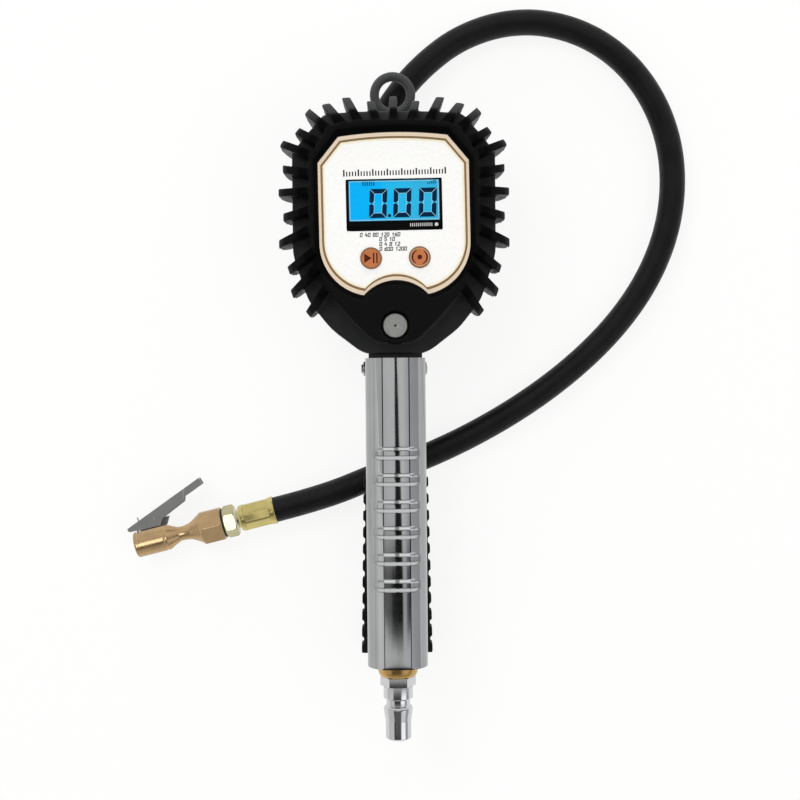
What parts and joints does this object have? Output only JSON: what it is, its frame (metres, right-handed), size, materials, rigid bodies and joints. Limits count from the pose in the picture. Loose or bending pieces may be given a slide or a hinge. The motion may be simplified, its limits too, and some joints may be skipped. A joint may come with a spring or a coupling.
{
  "type": "tyre inflator with gauge",
  "caption": "Hand-held tyre inflator: digital gauge in a finned rubber boot, lever grip handle, air inlet plug, bleed button and a hose with a clip-on chuck.",
  "frame": {"origin": "under the middle of the tool, on the table that it lies on", "axes": "+Z out of the gauge face, +Y from the air inlet towards the gauge, +X to the right of the gauge face"},
  "size_m": [0.2657, 0.338, 0.055],
  "materials": {
    "black_rubber": "matte",
    "hose_rubber": "satin",
    "seal_rubber": "matte",
    "chrome": "polished",
    "black_casting": "satin",
    "steel": "satin",
    "spring_steel": "satin",
    "brass": "satin",
    "pale_brass": "satin",
    "case_plastic": "matte",
    "frame_plastic": "gloss",
    "label_film": "satin",
    "window": "gloss",
    "lcd_glass": "gloss",
    "white_plastic": "matte",
    "board": "satin",
    "copper_button": "satin",
    "cell": "satin"
  },
  "bodies": {
    "tool": {"handle": "chrome", "valve_head": "black_casting", "head_pin": "steel", "head_seal": "seal_rubber", "gallery_plugs": "steel", "lever_pin": "steel", "lever_clip": "spring_steel", "valve_cartridge": "brass", "stem_seal": "seal_rubber", "valve_spring": "spring_steel", "inlet_adaptor": "brass", "inlet_washer": "seal_rubber", "inlet_filter": "brass", "inlet_plug": "chrome", "rubber_boot": "black_rubber", "hang_loop": "steel", "loop_screw": "steel", "gauge_case": "case_plastic", "rear_cover": "case_plastic", "case_screws": "steel", "battery_door": "case_plastic", "door_screw": "steel", "batteries": "cell", "battery_contacts": "spring_steel", "face_label": "label_film", "lcd_frame": "frame_plastic", "lcd_window": "window", "lcd_panel": "lcd_glass", "backlight": "white_plastic", "circuit_board": "board", "tact_switches": "frame_plastic", "pressure_sensor": "steel", "sensor_lead": "white_plastic", "gauge_stem": "brass", "gauge_stem_seal": "seal_rubber", "bleed_bush": "brass", "bleed_spring": "spring_steel", "outlet_fitting": "brass", "outlet_ferrule": "brass", "hose_ends": "hose_rubber", "hose": "hose_rubber", "chuck_ferrule": "pale_brass", "chuck_stem": "brass", "swivel_nut": "pale_brass", "chuck_washer": "seal_rubber", "chuck_body": "brass", "chuck_pin": "brass", "chuck_seal": "seal_rubber", "clip_post": "brass", "clip_pin": "steel"},
    "lever_arm": {"lever": "steel", "lever_grip": "black_rubber"},
    "valve": {"valve_stem": "brass", "valve_washer": "seal_rubber"},
    "bleed": {"bleed_button": "steel", "bleed_washer": "seal_rubber"},
    "left_key": {"button_left": "copper_button"},
    "right_key": {"button_right": "copper_button"},
    "clip": {"clip_lever": "steel", "clip_spring": "spring_steel"}
  },
  "joints": [
    {"name": "lever_hinge", "type": "hinge", "parent": "tool", "child": "lever_arm", "pos_m": [0, 0.01542, 0.0255], "axis": [-1, 0, 0], "range_deg": [0, 5], "stiffness_Nm_per_rad": 3, "springref_deg": -20.05},
    {"name": "valve_slide", "type": "slide", "parent": "tool", "child": "valve", "axis": [0, 0, 1], "range_m": [0, 0.00205], "deforming": ["valve_spring"]},
    {"name": "bleed_slide", "type": "slide", "parent": "tool", "child": "bleed", "axis": [0, 0, -1], "range_m": [0, 0.0015], "stiffness_N_per_m": 600, "springref_m": -0.002, "deforming": ["bleed_spring"]},
    {"name": "left_key_slide", "type": "slide", "parent": "tool", "child": "left_key", "axis": [0, 0, -1], "range_m": [0, 0.0005], "stiffness_N_per_m": 800, "springref_m": -0.0005},
    {"name": "right_key_slide", "type": "slide", "parent": "tool", "child": "right_key", "axis": [0, 0, -1], "range_m": [0, 0.0005], "stiffness_N_per_m": 800, "springref_m": -0.0005},
    {"name": "clip_hinge", "type": "hinge", "parent": "tool", "child": "clip", "pos_m": [-0.11449, -0.05447, 0.0087], "axis": [0, 0, -1], "range_deg": [0, 18], "stiffness_Nm_per_rad": 0.12, "springref_deg": -17.19}
  ],
  "couplings": [
    {"joint": "valve_slide", "follows": "lever_hinge", "m_per_rad": 0.02199}
  ]
}
